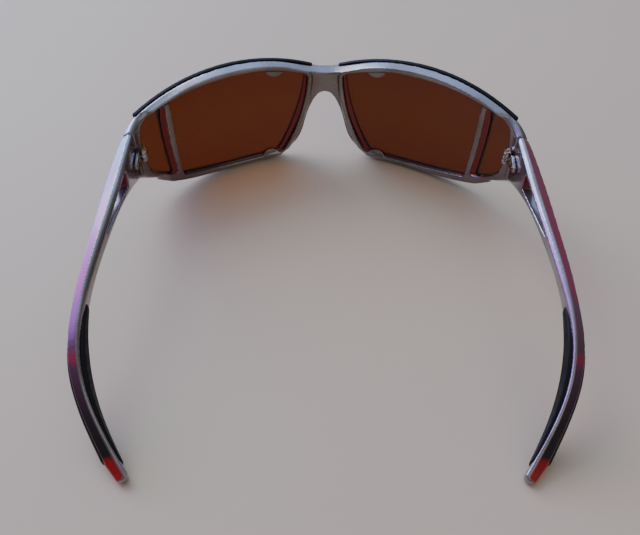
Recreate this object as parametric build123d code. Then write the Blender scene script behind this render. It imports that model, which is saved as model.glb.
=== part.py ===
from build123d import *
import os
from math import sqrt

# Wraparound sport sunglasses, millimetres.
# +Z up, the front looks along -Y, the wearer's head is on the +Y side, +X is the wearer's left.
# The origin is on the surface the glasses stand on, below the middle of their bounding box.

# ---------------------------------------------------------------- driving dimensions
SHELL_R = 90.0            # radius of the spherical outer face of the front
SHELL_Y = 13.2            # the sphere's centre, behind the front
SHELL_Z = 29.0
RIM_DEPTH = 4.2           # front to back thickness of the rims
NOSE_RIM_DEPTH = 5.8      # the rims are deeper beside the nose
NOSE_RIM_TAPER = 5.6      # how fast that extra depth fades towards the side
BROW_DEPTH = 5.0          # the brow is deeper too

LENS_OUTER = 1.25         # depth of the lens' outer face below the shell
LENS_THICK = 1.6
LEDGE = 0.55              # thickness of the ledge that shows around a lens from behind
LENS_EDGE = 1.0           # how far a lens reaches into its groove
LENS_GAP = 0.04

STRIP_DEPTH = 1.1         # soft brow strip: how far it is let in
STRIP_HEIGHT = 2.0
STRIP_PROUD = 0.35

JOINT_Y = -35.8           # plane where the front ends and the temples begin
SEAM_GAP = 0.25
LUG_INNER_X = 68.5        # inner face of the end pieces
LUG_OUTER_X = 72.6

HINGE_X = 66.5            # hinge screw axis
HINGE_Z = 27.4
KNUCKLE_R = 1.3
KNUCKLE_H = 1.4
KNUCKLE_GAP = 0.25
SCREW_R = 0.6
SCREW_CLEARANCE = 0.05
SWING_R = 1.6             # room kept free around the middle knuckle
LEAF_T = 1.0
RIVET_R = 0.45

TIP_Y = 76.8              # rear end of the temples
TIP_R = 4.6               # its rounding, seen from the side
TIP_Z = 1.2
FACET_DROP = 1.5          # the painted outer facet falls this far from the crest
PAD_INSET = 0.5           # how deep the rubber parts are let into the temple

HINGE_HALF_H = 1.5 * KNUCKLE_H + KNUCKLE_GAP

# Temple stations from the hinge to the tip:
# y, inner x, crest x, outer x, top z, bottom z, how far the outer wall leans in at its foot
TEMPLE_STATIONS = [
    (JOINT_Y + SEAM_GAP, LUG_INNER_X, 70.3, LUG_OUTER_X, 37.0, 15.7, 1.2),
    (-29.8, 68.6, 70.5, 73.3, 36.6, 19.3, 0.9),
    (-18.8, 68.9, 70.8, 74.1, 35.7, 23.8, 0.6),
    (-8.8, 69.4, 71.3, 74.8, 34.5, 26.2, 0.4),
    (4.2, 70.5, 72.3, 75.6, 32.6, 26.4, 0.2),
    (18.2, 72.0, 73.7, 76.7, 29.9, 24.6, 0.2),
    (30.2, 73.1, 74.5, 77.2, 27.0, 20.6, 0.2),
    (43.2, 72.7, 73.8, 76.8, 23.0, 14.2, 0.2),
    (53.6, 70.2, 71.2, 74.3, 18.0, 8.2, 0.2),
    (64.0, 64.8, 65.9, 69.2, 11.4, 2.0, 0.2),
    (71.4, 59.4, 60.8, 64.5, 6.2, 0.2, 0.2),
    (TIP_Y + 1.0, 53.6, 55.4, 59.4, 3.4, 0.0, 0.2),
]
# The end piece of the front has the same kind of section, and meets the temple's first one.
END_STATIONS = [
    (-44.8, 62.4, 67.3, 68.8, 40.2, 8.0, 2.6),
    (-40.8, 66.4, 69.0, 71.1, 38.8, 11.3, 1.9),
    (JOINT_Y, LUG_INNER_X, 70.3, LUG_OUTER_X, 37.0, 15.7, 1.2),
]


# ---------------------------------------------------------------- the spherical shell
def ball(radius):
    return Pos(0, SHELL_Y, SHELL_Z) * Sphere(radius)


def shell(outer, inner):
    return ball(outer) - ball(inner)


def on_plane(x, z, grow=0.0, depth=0.0):
    """A point that the front view shows at a depth below the shell, carried along its own radius to
    the plane that touches the shell's foremost point."""
    s = SHELL_R / sqrt((SHELL_R - depth)**2 - x**2 - (z - SHELL_Z)**2)
    return (x * s, (z - SHELL_Z) * s + grow)


def arc(*front_points):
    """A side of a window, given where the front view shows it on the back of the rim."""
    a, b, c = (on_plane(*p, depth=RIM_DEPTH) for p in front_points)
    return ThreePointArc(a, b, c)


def spline(*front_points, grow=0.0, depth=0.0, tangents=None):
    pts = [on_plane(x, z, grow, depth) for x, z in front_points]
    if tangents:
        return Spline(*pts, tangents=tangents)
    return Spline(*pts)


def cone(face, near=0.42, far=1.12):
    """The space that a flat outline sweeps as it shrinks towards the centre of the shell."""
    sections = []
    for k in (near, far):
        plane = Plane(origin=(0, SHELL_Y - k * SHELL_R, SHELL_Z), x_dir=(1, 0, 0), z_dir=(0, -1, 0))
        sections.append(plane * scale(face, k))
    return loft(sections, ruled=True)


def rounded(face, radii):
    """Round the corners of a window nearest to given points of the front view."""
    for point, radius in radii:
        target = Vector(*on_plane(*point, depth=RIM_DEPTH))
        corner = min(face.vertices(), key=lambda v: (v.center() - target).length)
        face = fillet(corner, radius)
    return face


# ---------------------------------------------------------------- outlines of the left half
TOP_EDGE = [(0, 39.4), (5.2, 40.0), (16.5, 43.0), (36.5, 45.3), (56.0, 43.6), (69.4, 39.6), (72.0, 38.4)]
NOSE_EDGE = [(0, 29.5), (3.4, 27.6), (8.4, 15.6), (13.2, 5.6), (18.8, 0.9), (30.0, 0.0)]
LOWER_EDGE = [(30.0, 0.0), (42.0, 0.2), (55.0, 2.2), (67.0, 8.3), (72.0, 12.9)]


def front_outline():
    edges = Curve() + [
        spline(*TOP_EDGE, tangents=[(1, 0), (1, -0.1)]),
        Line(on_plane(*TOP_EDGE[-1]), on_plane(*LOWER_EDGE[-1])),
        spline(*LOWER_EDGE, tangents=[(1, -0.13), (1, 0.25)]),
        spline(*NOSE_EDGE, tangents=[(1, 0), (1, -0.13)]),
        Line(on_plane(*NOSE_EDGE[0]), on_plane(*TOP_EDGE[0])),
    ]
    return make_face(edges)


def main_window(nose_shift=0.0, rise=0.0):
    """Opening of the main lens; the shift and rise leave a ledge beside the nose and along the bottom."""
    top_in = (6.9 + 0.6 * nose_shift, 38.8)
    top_out = (56.9, 40.3)
    low_out = (56.1, 6.8 + rise)
    low_in = (17.6 + nose_shift, 3.5 + rise)
    edges = Curve() + [
        arc(top_in, (33.0, 42.1), top_out),
        arc(top_out, (57.4, 24.0), low_out),
        arc(low_out, (38.0, 3.0 + rise), low_in),
        arc(low_in, (10.2 + nose_shift, 18.6), top_in),
    ]
    corners = [(top_in, 2.6), (top_out, 2.0), (low_out, 2.0), (low_in, 4.5)]
    return rounded(make_face(edges), corners)


def side_window(strut_shift=0.0, rise=0.0):
    top_in = (58.6 + strut_shift, 40.1)
    top_out = (66.8, 35.2)
    low_out = (65.8, 16.2)
    low_in = (57.8 + strut_shift, 9.0 + rise)
    edges = Curve() + [
        arc(top_in, (63.6, 38.4), top_out),
        arc(top_out, (67.6, 26.0), low_out),
        arc(low_out, (62.6, 11.6 + 0.5 * rise), low_in),
        arc(low_in, (59.1 + strut_shift, 24.6), top_in),
    ]
    corners = [(top_in, 1.5), (top_out, 4.0), (low_out, 5.0), (low_in, 2.0)]
    return rounded(make_face(edges), corners)


def lens_tabs():
    """Two small tongues of the inner rim that hold the main lens in."""
    upper = Pos(*on_plane(19.4, 42.0, depth=RIM_DEPTH)) * Circle(4.7)
    lower = Pos(*on_plane(21.8, 1.2, depth=RIM_DEPTH)) * Circle(5.0)
    return upper, lower


def window_with_tabs():
    face = main_window()
    for tab in lens_tabs():
        face = face - tab
    return face


def brow_outline():
    """The brow is the band between the top edge and the windows."""
    lower = spline((0, 36.6), (6.0, 38.4), (19.0, 41.4), (33.0, 42.4), (46.0, 42.1), (58.0, 40.6),
                   (64.0, 38.6), (69.0, 35.4), depth=RIM_DEPTH)
    upper = spline(*TOP_EDGE, tangents=[(1, 0), (1, -0.1)])
    edges = Curve() + [upper, Line(upper @ 1, lower @ 1), lower, Line(lower @ 0, upper @ 0)]
    return make_face(edges)


def strip_outline():
    """The soft strip follows the top edge, thin at the nose and blunt at the outer end."""
    points = TOP_EDGE[1:-1]
    drops = [0.1, 0.8, 0.9, 1.0, 1.0]
    upper = spline(*points, grow=STRIP_PROUD)
    lower = Spline(*[on_plane(*p, -STRIP_HEIGHT * k) for p, k in zip(points, drops)])
    edges = Curve() + [upper, Line(upper @ 1, lower @ 1), lower, Line(lower @ 0, upper @ 0)]
    return make_face(edges)


# ---------------------------------------------------------------- front, left half
def block(x, y, z):
    """A box between two limits on each axis."""
    return Pos(sum(x) / 2, sum(y) / 2, sum(z) / 2) * Box(x[1] - x[0], y[1] - y[0], z[1] - z[0])


def station_plane(y):
    """Plane of a cross section at y, with X and Z as its own directions."""
    return Plane(origin=(0, y, 0), x_dir=(1, 0, 0), z_dir=(0, -1, 0))


def arm_section(station):
    """Cross section of a temple or end piece: flat inner wall, crest, sloping outer facet, outer wall."""
    y, inner, crest, outer, top, bottom, tuck = station
    lean = 0.03 * (top - bottom)
    pts = [
        (inner, top - 1.3),
        (inner + 0.45 * (crest - inner), top - 0.25),
        (crest, top),
        (outer, top - FACET_DROP),
        (outer - 0.2 * tuck, 0.5 * (top + bottom)),
        (outer - tuck, bottom + 0.9),
        (outer - tuck - 0.7, bottom),
        (inner + 0.4 + lean, bottom),
        (inner + lean, bottom + 0.7),
    ]
    return station_plane(y) * make_face(Polyline(*pts, close=True))


def end_piece():
    """The solid end of the front that carries the hinge."""
    return loft([arm_section(s) for s in END_STATIONS])


def nose_ridge():
    """Low lip on the back of the rim beside the nose, fading out below the window."""
    lip = cone(offset(main_window(), 1.9)) - cone(main_window())
    back = Pos(NOSE_RIM_TAPER, SHELL_Y, SHELL_Z) * Sphere(SHELL_R - NOSE_RIM_DEPTH)
    return lip & cone(front_outline()) & ball(SHELL_R - 1.0) - back


def brow_strip():
    band = shell(SHELL_R + STRIP_PROUD, SHELL_R - STRIP_DEPTH)
    return cone(strip_outline()) & band


def lens(window, reach):
    outline = offset(window, reach)
    return cone(outline) & shell(SHELL_R - LENS_OUTER, SHELL_R - LENS_OUTER - LENS_THICK)


def front_half():
    body = cone(front_outline()) & shell(SHELL_R, SHELL_R - RIM_DEPTH)
    body += cone(brow_outline()) & shell(SHELL_R, SHELL_R - BROW_DEPTH)
    body += nose_ridge()
    body &= block((-1, 90), (-90, END_STATIONS[0][0] + 1.0), (-5, 60))
    body += end_piece()
    behind_ledge = ball(SHELL_R - LENS_OUTER - LENS_THICK - LEDGE)
    body -= cone(window_with_tabs()) & behind_ledge
    body -= cone(side_window()) & behind_ledge
    body -= cone(main_window(nose_shift=2.2, rise=0.9)) - behind_ledge
    body -= cone(side_window(strut_shift=1.7, rise=0.9)) - behind_ledge
    body -= lens(main_window(), LENS_EDGE)
    body -= lens(side_window(), LENS_EDGE)
    body -= brow_strip()
    return body - along_z(SWING_R, HINGE_Z - HINGE_HALF_H - 0.6, HINGE_Z + HINGE_HALF_H + 1.0)


# ---------------------------------------------------------------- hinge, left
def along_z(radius, z0, z1, x=HINGE_X, y=JOINT_Y):
    return Pos(x, y, (z0 + z1) / 2) * Cylinder(radius, z1 - z0)


def front_leaf():
    """Upper and lower knuckle on a plate that is let into the end piece."""
    low, high = HINGE_Z - HINGE_HALF_H, HINGE_Z + HINGE_HALF_H
    leaf = block((HINGE_X + 0.7, LUG_OUTER_X - 1.8), (JOINT_Y - 2.4, JOINT_Y - 1.1), (low, high))
    leaf += block((HINGE_X - 0.8, HINGE_X + 1.4), (JOINT_Y - 2.4, JOINT_Y), (low, high))
    middle = (HINGE_Z - KNUCKLE_H / 2 - KNUCKLE_GAP, HINGE_Z + KNUCKLE_H / 2 + KNUCKLE_GAP)
    leaf -= along_z(SWING_R, *middle)
    leaf -= block((HINGE_X - 2, HINGE_X + SWING_R), (JOINT_Y - 1.6, JOINT_Y + 1), middle)
    for z in (low, high - KNUCKLE_H):
        leaf += along_z(KNUCKLE_R, z, z + KNUCKLE_H)
    return leaf - along_z(SCREW_R + SCREW_CLEARANCE, low - 1, high + 1)


def temple_leaf():
    """Middle knuckle on a spear-shaped plate that is riveted to the temple's inner face."""
    low, high = HINGE_Z - HINGE_HALF_H, HINGE_Z + HINGE_HALF_H
    start = JOINT_Y + SWING_R
    outline = Polyline((start, low), (start, high), (start + 1.6, high), (start + 5.8, HINGE_Z + 1.0),
                       (start + 5.8, HINGE_Z - 1.0), (start + 1.6, low), close=True)
    plate = Pos(LUG_INNER_X - LEAF_T, 0, 0) * extrude(Plane.YZ * make_face(outline), LEAF_T)
    middle = (HINGE_Z - KNUCKLE_H / 2, HINGE_Z + KNUCKLE_H / 2)
    neck = block((LUG_INNER_X - LEAF_T, LUG_INNER_X - 0.3), (JOINT_Y, start), middle)
    leaf = plate + neck + along_z(KNUCKLE_R, *middle)
    leaf -= along_z(SCREW_R + SCREW_CLEARANCE, low - 1, high + 1)
    for rivet in temple_rivets():
        leaf -= rivet
    return leaf


def hinge_screw():
    low, high = HINGE_Z - HINGE_HALF_H, HINGE_Z + HINGE_HALF_H
    screw = along_z(SCREW_R, low - 0.4, high) + along_z(1.05, high, high + 0.6)
    slot = block((HINGE_X - 2, HINGE_X + 2), (JOINT_Y - 0.2, JOINT_Y + 0.2), (high + 0.3, high + 1))
    return screw - slot


def front_pins():
    """Two anchor pins behind the front leaf's plate."""
    pins = []
    for dz in (-1.2, 1.2):
        axis = Plane(origin=(HINGE_X + 3.5, JOINT_Y - 2.4, HINGE_Z + dz), z_dir=(0, -1, 0))
        pins.append(axis * Cylinder(RIVET_R, 1.3, align=(Align.CENTER, Align.CENTER, Align.MIN)))
    return pins


def temple_rivets():
    rivets = []
    for y in (JOINT_Y + 3.4, JOINT_Y + 6.1):
        inner = Plane(origin=(LUG_INNER_X - LEAF_T, y, HINGE_Z), z_dir=(1, 0, 0))
        shank = inner * Cylinder(RIVET_R, 3.0, align=(Align.CENTER, Align.CENTER, Align.MIN))
        head = inner * Cylinder(0.75, 0.3, align=(Align.CENTER, Align.CENTER, Align.MAX))
        rivets.append(shank + head)
    return rivets


# ---------------------------------------------------------------- temple, left
def temple_slot():
    """Tear-shaped window through the front of the temple."""
    edges = Curve() + [
        ThreePointArc((-19.4, 26.7), (-20.2, 30.0), (-19.4, 33.4)),
        ThreePointArc((-19.4, 33.4), (-6.8, 32.4), (5.6, 30.3)),
        ThreePointArc((5.6, 30.3), (6.2, 29.9), (5.6, 29.5)),
        ThreePointArc((5.6, 29.5), (-6.8, 28.5), (-19.4, 26.7)),
    ]
    return Pos(60, 0, 0) * extrude(Plane.YZ * make_face(edges), 20)


def tip_round():
    """The rear end of the temple is rounded both seen from above and seen from the side."""
    above = Curve() + [
        Line((50, -60), (90, -60)),
        Line((90, -60), (90, 60)),
        Line((90, 60), (64.6, 71.6)),
        Line((64.6, 71.6), (60.45, 76.1)),
        ThreePointArc((60.45, 76.1), (57.7, 76.25), (57.5, 73.5)),
        Line((57.5, 73.5), (48, 63)),
        Line((48, 63), (50, -60)),
    ]
    beside = Curve() + [
        Line((-60, -5), (TIP_Y - TIP_R, -5)),
        Line((TIP_Y - TIP_R, -5), (TIP_Y - TIP_R, TIP_Z - TIP_R)),
        ThreePointArc((TIP_Y - TIP_R, TIP_Z - TIP_R), (TIP_Y, TIP_Z), (TIP_Y - TIP_R, TIP_Z + TIP_R)),
        Line((TIP_Y - TIP_R, TIP_Z + TIP_R), (60, 40)),
        Line((60, 40), (-60, 50)),
        Line((-60, 50), (-60, -5)),
    ]
    return extrude(make_face(above), 60) & extrude(Plane.YZ * make_face(beside), 90)


def rubber_stations(first, last):
    return [s for s in TEMPLE_STATIONS if first <= s[0] <= last]


def inner_pad():
    """Leaf-shaped rubber pad that bears on the head behind the ear."""
    swell = {30.2: 0.3, 43.2: 1.7, 53.6: 2.0, 64.0: 1.5, 71.4: 0.7}
    sections = []
    for y, inner, crest, outer, top, bottom, tuck in rubber_stations(30.2, 71.4):
        proud = swell[y]
        margin = 1.1 if y > 31.0 else 2.2
        pts = [
            (inner + PAD_INSET, top - margin),
            (inner - 0.6 * proud, top - margin - 0.4),
            (inner - proud, 0.5 * (top + bottom)),
            (inner - 0.4 * proud, bottom + 1.0),
            (inner + PAD_INSET + 0.4, bottom + 0.7),
        ]
        sections.append(station_plane(y) * make_face(Polyline(*pts, close=True)))
    return loft(sections)


def outer_grip():
    """Thin rubber strip low on the outer face, ending in a blunt step before the tip."""
    sections = []
    for y, inner, crest, outer, top, bottom, tuck in rubber_stations(43.2, 71.4):
        proud = 0.15 if y < 50 else 0.8
        pts = [
            (outer - PAD_INSET, bottom + 0.9),
            (outer + 0.5 * proud, bottom + 0.9),
            (outer + proud, 0.5 * (top + bottom) - 0.3),
            (outer + 0.5 * proud, top - FACET_DROP - 0.4),
            (outer - PAD_INSET, top - FACET_DROP - 0.4),
        ]
        sections.append(station_plane(y) * make_face(Polyline(*pts, close=True)))
    return loft(sections)


def temple():
    arm = loft([arm_section(s) for s in TEMPLE_STATIONS])
    arm &= tip_round()
    arm -= temple_slot()
    arm -= inner_pad()
    arm -= outer_grip()
    for rivet in temple_rivets():
        arm -= rivet
    return arm


# ---------------------------------------------------------------- nodes
def mirrored(shape):
    return mirror(shape, about=Plane.YZ)


def write(name, solids):
    shape = Compound(children=solids) if len(solids) > 1 else solids[0]
    export_step(shape, f"parts/{name}.step")


def as_solids(shape):
    return [Solid(s.wrapped) for s in shape.solids()]


def main():
    os.makedirs("parts", exist_ok=True)
    half = front_half() - front_leaf()
    for pin in front_pins():
        half -= pin
    front = half + mirrored(half)
    write("front_frame", [max(as_solids(front), key=lambda solid: solid.volume)])

    clear = LENS_EDGE - LENS_GAP
    pairs = {
        "lens_main": [lens(main_window(), clear)],
        "lens_side": [lens(side_window(), clear)],
        "brow_strip": [brow_strip()],
        "hinge_front_leaf": [front_leaf()],
        "hinge_front_pins": front_pins(),
        "hinge_screw": [hinge_screw()],
        "hinge_temple_leaf": [temple_leaf()],
        "hinge_temple_rivets": temple_rivets(),
        "temple": [temple()],
        "temple_inner_pad": [inner_pad()],
        "temple_outer_grip": [outer_grip()],
    }
    for name, shapes in pairs.items():
        left = [s for shape in shapes for s in as_solids(shape)]
        right = [s for shape in left for s in as_solids(mirrored(shape))]
        write(f"{name}_left", left)
        write(f"{name}_right", right)


main()
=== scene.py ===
import math

import bmesh
import bpy
import numpy as np
from mathutils import Matrix, Vector
from mathutils.bvhtree import BVHTree


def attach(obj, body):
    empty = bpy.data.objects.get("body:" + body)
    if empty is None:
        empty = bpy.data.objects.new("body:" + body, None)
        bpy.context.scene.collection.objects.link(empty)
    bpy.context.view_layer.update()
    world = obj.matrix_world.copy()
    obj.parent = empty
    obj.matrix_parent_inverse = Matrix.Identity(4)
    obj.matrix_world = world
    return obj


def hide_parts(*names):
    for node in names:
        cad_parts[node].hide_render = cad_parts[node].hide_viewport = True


# Wraparound sport sunglasses, dressed around their CAD frame. Metres, in the frame's own axes:
# +Z up, the front looks along -Y, +X is the wearer's left.
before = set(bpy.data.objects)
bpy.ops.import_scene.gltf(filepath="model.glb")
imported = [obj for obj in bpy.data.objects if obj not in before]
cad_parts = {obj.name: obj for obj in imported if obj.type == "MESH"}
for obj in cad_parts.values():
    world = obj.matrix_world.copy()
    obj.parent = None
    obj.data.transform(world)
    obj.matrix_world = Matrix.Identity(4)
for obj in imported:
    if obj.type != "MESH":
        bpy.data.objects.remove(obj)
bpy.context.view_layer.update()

MM = 0.001
SIDES = ("left", "right")
SHELL_CENTRE = np.array((0.0, 13.2, 29.0)) * MM   # middle of the front's spherical outer face
SHELL_R = 90.0 * MM
LENS_DEPTH = 1.25 * MM                            # the lens' outer face below that of the front
LENS_THICK = 1.6 * MM
LENS_OUTER_R = SHELL_R - LENS_DEPTH
LENS_INNER_R = LENS_OUTER_R - LENS_THICK
JOINT_Y = -35.8 * MM                              # where the temples begin
TEMPLE_LENGTH = 112.6 * MM
CORNER_START = 17.5 * MM   # where the rims' lower edge curves up beside the nose
CORNER_END = 25.5 * MM
CORNER_CURVE = 0.0235 / MM


# ---------------------------------------------------------------- meshes
def welded(node):
    """A copy of a CAD node's mesh with its doubled edge points joined."""
    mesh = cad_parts[node].data.copy()
    bm = bmesh.new()
    bm.from_mesh(mesh)
    bmesh.ops.remove_doubles(bm, verts=bm.verts, dist=1e-6)
    bm.to_mesh(mesh)
    bm.free()
    mesh.materials.clear()
    if "custom_normal" in mesh.attributes:
        mesh.attributes.remove(mesh.attributes["custom_normal"])
    return mesh


def apply_modifiers(obj):
    depsgraph = bpy.context.evaluated_depsgraph_get()
    mesh = bpy.data.meshes.new_from_object(obj.evaluated_get(depsgraph))
    obj.modifiers.clear()
    old, obj.data = obj.data, mesh
    bpy.data.meshes.remove(old)


def moulded(node, name, voxel, rounds, faces=None):
    """A piece with the CAD node's form and the soft edges that moulding leaves."""
    obj = bpy.data.objects.new(name, welded(node))
    bpy.context.scene.collection.objects.link(obj)
    remesh = obj.modifiers.new("remesh", "REMESH")
    remesh.mode = "VOXEL"
    remesh.voxel_size = voxel
    smooth = obj.modifiers.new("smooth", "SMOOTH")
    smooth.factor = 0.5
    smooth.iterations = rounds
    apply_modifiers(obj)
    if faces:
        triangles = sum(len(p.vertices) - 2 for p in obj.data.polygons)
        if triangles > faces:
            decimate = obj.modifiers.new("decimate", "DECIMATE")
            decimate.ratio = faces / triangles
            apply_modifiers(obj)
    obj.data.polygons.foreach_set("use_smooth", [True] * len(obj.data.polygons))
    return obj


def points(obj):
    co = np.empty(len(obj.data.vertices) * 3)
    obj.data.vertices.foreach_get("co", co)
    return co.reshape(-1, 3)


def normals(obj):
    no = np.empty(len(obj.data.vertices) * 3)
    obj.data.vertices.foreach_get("normal", no)
    return no.reshape(-1, 3)


def set_points(obj, co):
    obj.data.vertices.foreach_set("co", co.ravel())
    obj.data.update()


def behind(co, outward, reach, *nodes):
    """1 for each point with one of these CAD nodes within reach along its outward direction, else 0."""
    found = np.zeros(len(co))
    for node in nodes:
        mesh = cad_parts[node].data
        tree = BVHTree.FromPolygons([v.co for v in mesh.vertices], [p.vertices for p in mesh.polygons])
        for i, (point, direction) in enumerate(zip(co, outward)):
            if not found[i] and tree.ray_cast(point, direction, reach)[0] is not None:
                found[i] = 1.0
    return found


def attribute(obj, name, values):
    layer = obj.data.attributes.new(name, "FLOAT", "POINT")
    layer.data.foreach_set("value", np.clip(values, 0.0, 1.0).astype(np.float32))


def spread(obj, values, rounds):
    """Average each point's value with its neighbours', a few times over."""
    ends = np.empty(len(obj.data.edges) * 2, dtype=np.int32)
    obj.data.edges.foreach_get("vertices", ends)
    a, b = ends.reshape(-1, 2).T
    count = len(values)
    neighbours = np.bincount(a, minlength=count) + np.bincount(b, minlength=count)
    for _ in range(rounds):
        total = np.bincount(a, values[b], count) + np.bincount(b, values[a], count)
        values = 0.5 * values + 0.5 * total / np.maximum(neighbours, 1)
    return values


def soften(obj, weight, rounds):
    """Even out the surface where the weight is 1."""
    co = points(obj)
    even = np.stack([spread(obj, co[:, axis], rounds) for axis in range(3)], axis=1)
    set_points(obj, co + weight[:, None] * (even - co))


def ramp(values, low, high):
    """0 below low, 1 above high, smooth between them."""
    t = np.clip((values - low) / (high - low), 0.0, 1.0)
    return t * t * (3.0 - 2.0 * t)


def fade(values, low, high):
    """1 below low, 0 above high, smooth between them."""
    return 1.0 - ramp(values, low, high)


def from_shell(co):
    """Distance from the shell's centre, and the outward direction there."""
    offset = co - SHELL_CENTRE
    radius = np.linalg.norm(offset, axis=1)
    return radius, offset / radius[:, None]


# ---------------------------------------------------------------- node helpers
class Shader:
    """A material's node tree, built one call at a time."""

    def __init__(self, name):
        self.material = bpy.data.materials.new(name)
        self.material.use_nodes = True
        self.tree = self.material.node_tree
        self.bsdf = self.tree.nodes["Principled BSDF"]
        self.output = self.tree.nodes["Material Output"]

    def node(self, kind, **settings):
        made = self.tree.nodes.new(kind)
        for key, value in settings.items():
            setattr(made, key, value)
        return made

    def link(self, source, target):
        self.tree.links.new(source, target)

    def feed(self, socket, value):
        if isinstance(value, bpy.types.NodeSocket):
            self.link(value, socket)
        elif isinstance(value, (tuple, list)) and len(value) == 3 and socket.type == "RGBA":
            socket.default_value = (*value, 1.0)
        else:
            socket.default_value = value

    def place(self):
        return self.node("ShaderNodeTexCoord").outputs["Object"]

    def attribute(self, name):
        return self.node("ShaderNodeAttribute", attribute_name=name).outputs["Fac"]

    def noise(self, scale, detail=3.0, roughness=0.5):
        made = self.node("ShaderNodeTexNoise")
        made.inputs["Scale"].default_value = scale
        made.inputs["Detail"].default_value = detail
        made.inputs["Roughness"].default_value = roughness
        self.link(self.place(), made.inputs["Vector"])
        return made.outputs["Fac"]

    def cells(self, scale):
        made = self.node("ShaderNodeTexVoronoi")
        made.inputs["Scale"].default_value = scale
        self.link(self.place(), made.inputs["Vector"])
        return made.outputs["Color"]

    def maths(self, operation, a, b=0.0):
        made = self.node("ShaderNodeMath", operation=operation)
        self.feed(made.inputs[0], a)
        self.feed(made.inputs[1], b)
        return made.outputs[0]

    def remap(self, value, low, high, out_low=0.0, out_high=1.0):
        made = self.node("ShaderNodeMapRange", interpolation_type="SMOOTHSTEP")
        self.feed(made.inputs["Value"], value)
        limits = {"From Min": low, "From Max": high, "To Min": out_low, "To Max": out_high}
        for key, number in limits.items():
            made.inputs[key].default_value = number
        return made.outputs["Result"]

    def mix(self, factor, a, b, blend="MIX"):
        made = self.node("ShaderNodeMix", data_type="RGBA", blend_type=blend)
        self.feed(made.inputs[0], factor)
        self.feed(made.inputs[6], a)
        self.feed(made.inputs[7], b)
        return made.outputs[2]

    def grade(self, factor, *stops):
        """A colour ramp through (position, colour) stops."""
        made = self.node("ShaderNodeValToRGB")
        elements = made.color_ramp.elements
        while len(elements) < len(stops):
            elements.new(0.5)
        for element, (position, colour) in zip(elements, stops):
            element.position = position
            element.color = (*colour, 1.0)
        self.feed(made.inputs["Fac"], factor)
        return made.outputs["Color"]

    def bump(self, height, strength, distance, normal=None):
        made = self.node("ShaderNodeBump")
        made.inputs["Strength"].default_value = strength
        made.inputs["Distance"].default_value = distance
        self.feed(made.inputs["Height"], height)
        if normal:
            self.link(normal, made.inputs["Normal"])
        return made.outputs["Normal"]

    def finish(self, **inputs):
        for key, value in inputs.items():
            self.feed(self.bsdf.inputs[key.replace("_", " ").title()], value)
        return self.material


def srgb(r, g, b):
    """Linear colour from 0-255 display values."""
    def linear(v):
        v /= 255.0
        return v / 12.92 if v <= 0.04045 else ((v + 0.055) / 1.055) ** 2.4
    return tuple(linear(v) for v in (r, g, b))


SILVER = srgb(150, 147, 152)
SILVER_WARM = srgb(124, 116, 112)
MAUVE_SHADE = srgb(104, 78, 92)
CRIMSON = srgb(150, 14, 26)
PLUM = srgb(84, 34, 58)
NIGHT = srgb(40, 22, 34)
SIGNAL_RED = srgb(168, 10, 20)
LEDGE_RED = srgb(112, 6, 14)
LEDGE_SHADE = srgb(54, 20, 14)


# ---------------------------------------------------------------- materials
def pearl_paint(name, outside_stops):
    """Clear-coated metallic paint: silver, and where "outside" is 1 the colours of outside_stops.

    The stops run along the attribute "along". "tint" turns the silver a darker mauve, painted shade low on
    the parts; "ledge" paints the ledges around the lenses red, and "low" darkens them near the bottom,
    painted shade so that the bottom ledges read as a dark line.
    """
    s = Shader(name)
    cloud = s.noise(45.0, 2.0)
    inner = s.mix(s.remap(cloud, 0.35, 0.65), SILVER, SILVER_WARM)
    # Painted shade: "tint" mixes the silver towards a darker mauve.
    inner = s.mix(s.maths("MULTIPLY", s.attribute("tint"), 0.75), inner, MAUVE_SHADE)
    outer = s.grade(s.attribute("along"), *outside_stops)
    edge = s.maths("ADD", s.attribute("outside"), s.maths("MULTIPLY", s.noise(700.0, 2.0), 0.10))
    colour = s.mix(s.remap(edge, 0.25, 0.85), inner, outer)
    # Painted shade: "low" darkens the ledge colour near the bottom.
    ledge = s.mix(s.attribute("low"), LEDGE_RED, LEDGE_SHADE)
    colour = s.mix(s.remap(s.attribute("ledge"), 0.35, 0.6), colour, ledge)

    flake = s.node("ShaderNodeSeparateColor")
    s.link(s.cells(8000.0), flake.inputs[0])
    sparkle = s.mix(flake.outputs[0], (0.5, 0.5, 0.55), (1.0, 1.0, 1.0))
    colour = s.mix(0.12, colour, sparkle, "MULTIPLY")
    scuffs = s.remap(s.noise(1500.0, 4.0, 0.7), 0.66, 0.8)
    colour = s.mix(s.maths("MULTIPLY", scuffs, 0.04), colour, SILVER)
    rough = s.maths("ADD", s.remap(s.noise(160.0, 4.0, 0.65), 0.3, 0.75, 0.20, 0.30),
                    s.maths("MULTIPLY", scuffs, 0.08))
    normal = s.bump(s.noise(600.0, 2.0), 0.02, 0.00002)
    normal = s.bump(flake.outputs[1], 0.02, 0.00001, normal)
    s.bsdf.inputs["Coat Roughness"].default_value = 0.1
    s.bsdf.inputs["Coat Weight"].default_value = 1.0
    return s.finish(base_color=colour, metallic=s.remap(s.attribute("outside"), 0.2, 0.8, 0.85, 0.25),
                    roughness=rough, normal=normal)


def rubber(name, base, light):
    """Fine-grained rubber with a little light dust on it."""
    s = Shader(name)
    dust = s.remap(s.noise(320.0, 5.0, 0.7), 0.45, 0.8)
    colour = s.mix(s.maths("MULTIPLY", dust, 0.3), base, light)
    rough = s.remap(s.noise(500.0, 3.0), 0.3, 0.7, 0.44, 0.6)
    grain = s.noise(3200.0, 2.0)
    s.bsdf.inputs["Specular IOR Level"].default_value = 0.25
    return s.finish(base_color=colour, roughness=rough, normal=s.bump(grain, 0.12, 0.00003))


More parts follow.
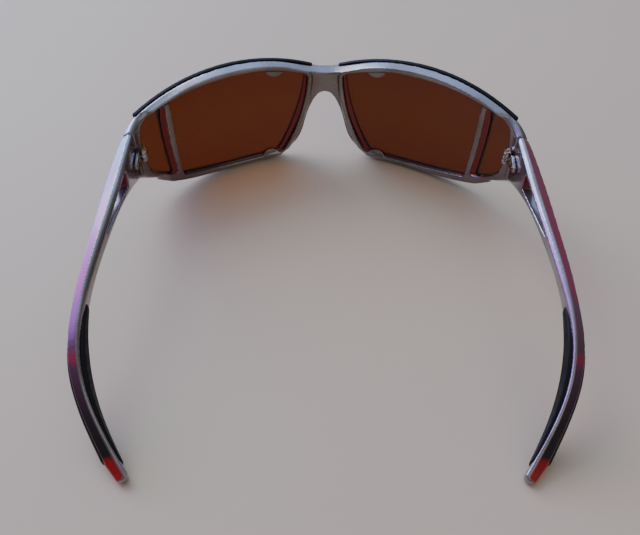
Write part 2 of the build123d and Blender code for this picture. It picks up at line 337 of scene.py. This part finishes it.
def metal(name, base, dark):
    """Turned and slightly tarnished metal."""
    s = Shader(name)
    tarnish = s.remap(s.noise(900.0, 4.0, 0.65), 0.42, 0.68)
    colour = s.mix(tarnish, base, dark)
    turned = s.node("ShaderNodeTexWave", wave_type="RINGS", rings_direction="Z")
    turned.inputs["Scale"].default_value = 2500.0
    s.link(s.place(), turned.inputs["Vector"])
    rough = s.maths("ADD", s.maths("MULTIPLY", tarnish, 0.2), 0.22)
    return s.finish(base_color=colour, metallic=1.0, roughness=rough,
                    normal=s.bump(turned.outputs["Fac"], 0.08, 0.00002))


def tinted_lens(name):
    """Brown lens with a copper mirror coat on its outer face; lamps shine through it tinted."""
    s = Shader(name)
    depth = s.noise(12.0, 1.0)
    tint = s.mix(s.remap(depth, 0.3, 0.7), (0.066, 0.0088, 0.0002), (0.080, 0.011, 0.0003))
    mirror = s.grade(s.attribute("along"), (0.0, (0.62, 0.16, 0.08)), (0.55, (0.66, 0.22, 0.10)),
                     (1.0, (0.56, 0.14, 0.12)))
    colour = s.mix(s.attribute("outside"), tint, mirror)
    coat = s.maths("MULTIPLY", s.attribute("outside"), 0.45)
    smears = s.remap(s.noise(90.0, 5.0, 0.7), 0.45, 0.8, 0.02, 0.09)
    s.bsdf.inputs["IOR"].default_value = 1.5
    s.bsdf.inputs["Transmission Weight"].default_value = 1.0
    s.finish(base_color=colour, roughness=smears, metallic=coat,
             normal=s.bump(s.noise(55.0, 1.0), 0.02, 0.0002))
    through = s.node("ShaderNodeBsdfTransparent")
    through.inputs["Color"].default_value = (0.46, 0.25, 0.14, 1.0)
    lamp = s.node("ShaderNodeLightPath").outputs["Is Shadow Ray"]
    mixed = s.node("ShaderNodeMixShader")
    s.link(lamp, mixed.inputs[0])
    s.link(s.bsdf.outputs[0], mixed.inputs[1])
    s.link(through.outputs[0], mixed.inputs[2])
    s.link(mixed.outputs[0], s.output.inputs["Surface"])
    return s.material


FRONT_PAINT = pearl_paint("front_paint", [(0.0, CRIMSON), (0.55, srgb(120, 16, 34)), (1.0, PLUM)])
TEMPLE_PAINT = pearl_paint("temple_paint", [     # from the hinge to the tip, with a red patch on the way
    (0.0, srgb(128, 46, 66)),
    (0.25, srgb(142, 46, 76)),
    (0.54, srgb(152, 48, 86)),
    (0.60, srgb(108, 62, 86)),
    (0.71, srgb(92, 48, 74)),
    (0.735, srgb(156, 22, 58)),
    (0.76, srgb(86, 42, 70)),
    (0.88, NIGHT),
    (0.945, srgb(30, 16, 24)),
    (0.955, SIGNAL_RED),
    (1.0, SIGNAL_RED),
])
LENS = tinted_lens("lens_brown")
TRIM = rubber("brow_trim", srgb(4, 4, 7), srgb(12, 12, 17))
RUBBER = rubber("pad_rubber", srgb(4, 4, 5), srgb(14, 14, 15))
HINGE = metal("hinge_metal", srgb(188, 186, 188), srgb(120, 112, 104))
SCREW = metal("screw_metal", srgb(184, 160, 108), srgb(104, 86, 58))
TRIM_LOOK = (TRIM, "soft_trim")                  # material and slot
RUBBER_LOOK = (RUBBER, "pad_rubber")
HINGE_LOOK = (HINGE, "hinge_metal")
SCREW_LOOK = (SCREW, "screw_metal")


# ---------------------------------------------------------------- pieces
def dress(obj, material, body, slot, *nodes):
    """Give a piece its material and the body it moves with, and hide the CAD nodes it stands for. The slot
    argument is not used.
    """
    obj.data.materials.append(material)
    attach(obj, body)
    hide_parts(*nodes)
    return obj


def even_brow_ends(obj):
    """Even out the step behind the brow where it runs into the end piece."""
    co = points(obj)
    radius, _ = from_shell(co)
    across = np.abs(co[:, 0])
    weight = ramp(across, 54.0 * MM, 58.0 * MM) * fade(across, 67.0 * MM, 68.5 * MM)
    weight *= ramp(co[:, 2], 34.0 * MM, 37.0 * MM) * fade(radius, 86.8 * MM, 88.2 * MM)
    soften(obj, weight, 50)


def round_nose_corners(obj):
    """Lift the lower edge beside the nose onto a curve that runs evenly into the nose edge."""
    co = points(obj)
    radius, outward = from_shell(co)
    across = np.abs(outward[:, 0]) * SHELL_R
    height = outward[:, 2] * SHELL_R + SHELL_CENTRE[2]
    reach = np.clip(CORNER_END - across, 0.0, None)
    near = (across > CORNER_START) & (across < CORNER_END) & (outward[:, 1] < 0.0)
    lift = np.where(near, np.clip(CORNER_CURVE * reach ** 2 - height, 0.0, None), 0.0)
    outward[:, 2] += lift / SHELL_R
    outward /= np.linalg.norm(outward, axis=1)[:, None]
    set_points(obj, SHELL_CENTRE + outward * radius[:, None])
    across = np.abs(co[:, 0])
    weight = ramp(across, 13.5 * MM, 16.0 * MM) * fade(across, 21.5 * MM, 25.0 * MM)
    soften(obj, weight * fade(co[:, 2], 2.0 * MM, 4.0 * MM), 8)


def front_outside(co, no):
    """1 where the front is painted in its outside colours: its face, the rims' outer edge, the ends."""
    radius, outward = from_shell(co)
    across = np.abs(co[:, 0])
    facing = np.einsum("ij,ij->i", no, outward)
    sideways = no[:, 0] * np.sign(co[:, 0])
    face = ramp(facing, 0.25, 0.7) * ramp(radius, 87.5 * MM, 89.3 * MM)
    rim = ramp(radius, 87.2 * MM, 89.4 * MM) * fade(across, 48.0 * MM, 56.0 * MM)
    rim *= 1.0 - 0.45 * ramp(co[:, 2], 30.0 * MM, 40.0 * MM)
    end = ramp(sideways, 0.35, 0.7) * ramp(across, 66.5 * MM, 69.5 * MM)
    return np.maximum.reduce((face, rim, end))


def lens_ledge(co, no):
    """1 on the ledges that show around the lenses from behind."""
    radius, outward = from_shell(co)
    facing = np.einsum("ij,ij->i", no, outward)
    lenses = [f"lens_{part}_{side}" for part in ("main", "side") for side in SIDES]
    over_lens = behind(co, outward, 1.3 * MM, *lenses)
    return over_lens * ramp(radius, 85.9 * MM, 86.3 * MM) * ramp(-facing, -0.5, 0.0)


def build_front():
    obj = moulded("front_frame", "front_shell", 0.3 * MM, 12, 180000)
    even_brow_ends(obj)
    round_nose_corners(obj)
    co, no = points(obj), normals(obj)
    across = np.abs(co[:, 0])
    attribute(obj, "outside", spread(obj, front_outside(co, no), 3))
    attribute(obj, "ledge", spread(obj, lens_ledge(co, no), 3))
    # Painted shade: the ledges along the bottom of the windows, away from the nose, are painted dark to
    # read as a thin dark line.
    attribute(obj, "low", ramp(across, 21.0 * MM, 25.0 * MM) * fade(co[:, 2], 5.5 * MM, 8.5 * MM))
    attribute(obj, "along", ramp(co[:, 2], 12.0 * MM, 44.0 * MM))
    # Painted shade: the silver turns a darker mauve on the lower rims, more so towards the ends.
    attribute(obj, "tint", ramp(across, 30.0 * MM, 68.0 * MM) * fade(co[:, 2], 4.0 * MM, 30.0 * MM))
    dress(obj, FRONT_PAINT, "front", "frame_paint", "front_frame")


def build_temple(side):
    sign = 1.0 if side == "left" else -1.0
    obj = moulded(f"temple_{side}", f"temple_arm_{side}", 0.3 * MM, 5, 90000)
    co, no = points(obj), normals(obj)
    facet = ramp(no[:, 0] * sign, 0.1, 0.34)
    slot_front = ramp(no[:, 1], 0.3, 0.7) * ramp(-co[:, 1], 14.0 * MM, 17.0 * MM)
    slot_front *= fade(-co[:, 1], 21.0 * MM, 23.0 * MM)
    attribute(obj, "outside", spread(obj, np.maximum(facet, slot_front), 3))
    attribute(obj, "along", (co[:, 1] - JOINT_Y) / TEMPLE_LENGTH)
    # Painted shade: the silver turns a darker mauve low on the arm, towards the hinge.
    attribute(obj, "tint", fade(co[:, 2], 22.0 * MM, 34.0 * MM) * fade(co[:, 1], -20.0 * MM, 20.0 * MM))
    dress(obj, TEMPLE_PAINT, f"temple_{side}", "temple_paint", f"temple_{side}")


def build_rubber(node, name, body, voxel, look):
    obj = moulded(node, name, voxel, 4, 60000)
    material, slot = look
    return dress(obj, material, body, slot, node)


def build_lens(node, name):
    """The lens again, with finer and exactly spherical faces."""
    obj = moulded(node, name, 0.42 * MM, 2)
    co = points(obj)
    radius, outward = from_shell(co)
    for face_radius in (LENS_OUTER_R, LENS_INNER_R):
        near = np.abs(radius - face_radius) < 0.3 * MM
        co[near] = SHELL_CENTRE + outward[near] * face_radius
    set_points(obj, co)
    attribute(obj, "outside", ramp(radius, LENS_OUTER_R - 0.4 * MM, LENS_OUTER_R - 0.1 * MM))
    attribute(obj, "along", ramp(co[:, 2], 0.0, 0.044))
    dress(obj, LENS, "front", "lens", node)


def build_metal(node, name, body, voxel, look):
    obj = moulded(node, name, voxel, 2, 40000)
    material, slot = look
    dress(obj, material, body, slot, node)


def build_hinge(side):
    temple = f"temple_{side}"
    build_metal(f"hinge_front_leaf_{side}", f"front_leaf_{side}", "front", 0.11 * MM, HINGE_LOOK)
    build_metal(f"hinge_temple_leaf_{side}", f"temple_leaf_{side}", temple, 0.11 * MM, HINGE_LOOK)
    build_metal(f"hinge_front_pins_{side}", f"leaf_pins_{side}", "front", 0.1 * MM, HINGE_LOOK)
    build_metal(f"hinge_screw_{side}", f"pivot_screw_{side}", "front", 0.08 * MM, SCREW_LOOK)
    build_metal(f"hinge_temple_rivets_{side}", f"leaf_rivets_{side}", temple, 0.09 * MM, SCREW_LOOK)


def build_side(side):
    temple = f"temple_{side}"
    build_temple(side)
    build_lens(f"lens_main_{side}", f"main_lens_{side}")
    build_lens(f"lens_side_{side}", f"side_lens_{side}")
    build_rubber(f"brow_strip_{side}", f"brow_trim_{side}", "front", 0.2 * MM, TRIM_LOOK)
    pad = build_rubber(f"temple_inner_pad_{side}", f"inner_pad_{side}", temple, 0.25 * MM, RUBBER_LOOK)
    build_rubber(f"temple_outer_grip_{side}", f"outer_grip_{side}", temple, 0.2 * MM, RUBBER_LOOK)
    build_hinge(side)


# ---------------------------------------------------------------- stage
def camera():
    """Behind and above the glasses, looking down at them from the wearer's side."""
    data = bpy.data.cameras.new("camera")
    data.sensor_width = 36.0
    data.lens = 36.56
    data.clip_start = 0.01
    cam = bpy.data.objects.new("camera", data)
    bpy.context.scene.collection.objects.link(cam)
    pitch, yaw, roll = 0.874, 0.018, 0.020
    forward = Vector((-math.sin(yaw) * math.cos(pitch), -math.cos(yaw) * math.cos(pitch), -math.sin(pitch)))
    right = Vector((-math.cos(yaw), math.sin(yaw), 0.0))
    up = right.cross(forward)
    side = math.cos(roll) * right + math.sin(roll) * up
    top = -math.sin(roll) * right + math.cos(roll) * up
    pose = Matrix((side, top, -forward)).transposed().to_4x4()
    pose.translation = (0.00455, 0.14876, 0.18413)
    cam.matrix_world = pose
    bpy.context.scene.camera = cam


def floor():
    """A plain pale floor just under the glasses."""
    mesh = bpy.data.meshes.new("floor")
    half = 3.0
    corners = [(-half, -half, 0), (half, -half, 0), (half, half, 0), (-half, half, 0)]
    mesh.from_pydata(corners, [], [(0, 1, 2, 3)])
    obj = bpy.data.objects.new("floor", mesh)
    obj.location.z = -0.0001
    bpy.context.scene.collection.objects.link(obj)
    s = Shader("floor")
    tone = s.mix(s.remap(s.noise(3.0, 2.0), 0.3, 0.7), (0.60, 0.47, 0.31), (0.63, 0.50, 0.34))
    mesh.materials.append(s.finish(base_color=tone, roughness=0.6))


def area(name, where, target, size, energy, colour):
    """A soft rectangular lamp that faces the target."""
    data = bpy.data.lights.new(name, "AREA")
    data.shape = "RECTANGLE"
    data.size, data.size_y = size
    data.energy = energy
    data.color = colour
    obj = bpy.data.objects.new(name, data)
    obj.location = where
    obj.rotation_euler = (Vector(target) - Vector(where)).to_track_quat("-Z", "Y").to_euler()
    bpy.context.scene.collection.objects.link(obj)


# Soft glows of the room: direction, where the glow starts and is full (cosines), and its colour.
GLOWS = [
    ((0.0, -0.2, 1.0), -0.2, 1.0, (0.24, 0.24, 0.25)),
    ((0.35, -0.76, 0.55), 0.35, 0.95, (0.62, 0.90, 1.7)),
    ((0.66, -0.75, 0.02), 0.86, 0.98, (0.7, 3.4, 6.0)),
    ((0.88, -0.38, 0.28), 0.90, 0.985, (1.9, 0.3, 3.4)),
]


def studio():
    """A soft room: bright and cool on the far left, dim and warm on the near right."""
    world = bpy.data.worlds.new("studio")
    bpy.context.scene.world = world
    world.use_nodes = True
    tree = world.node_tree
    direction = tree.nodes.new("ShaderNodeTexCoord").outputs["Generated"]
    glow = (0.08, 0.075, 0.07, 1.0)
    for towards, start, end, colour in GLOWS:
        dot = tree.nodes.new("ShaderNodeVectorMath")
        dot.operation = "DOT_PRODUCT"
        dot.inputs[1].default_value = Vector(towards).normalized()
        tree.links.new(direction, dot.inputs[0])
        falloff = tree.nodes.new("ShaderNodeMapRange")
        falloff.interpolation_type = "SMOOTHSTEP"
        falloff.inputs["From Min"].default_value = start
        falloff.inputs["From Max"].default_value = end
        tree.links.new(dot.outputs["Value"], falloff.inputs["Value"])
        add = tree.nodes.new("ShaderNodeMix")
        add.data_type = "RGBA"
        add.blend_type = "ADD"
        tree.links.new(falloff.outputs["Result"], add.inputs[0])
        if isinstance(glow, tuple):
            add.inputs[6].default_value = glow
        else:
            tree.links.new(glow, add.inputs[6])
        add.inputs[7].default_value = (*colour, 1.0)
        glow = add.outputs[2]
    tree.links.new(glow, tree.nodes["Background"].inputs["Color"])
    area("window", (0.75, -0.85, 0.90), (0.0, 0.0, 0.0), (0.9, 0.9), 11.0, (0.84, 0.92, 1.0))
    area("fill", (-0.5, 0.9, 0.9), (0.0, 0.0, 0.0), (1.2, 1.2), 2.0, (1.0, 0.95, 0.9))


build_front()
for wearer_side in SIDES:
    build_side(wearer_side)
camera()
floor()
studio()
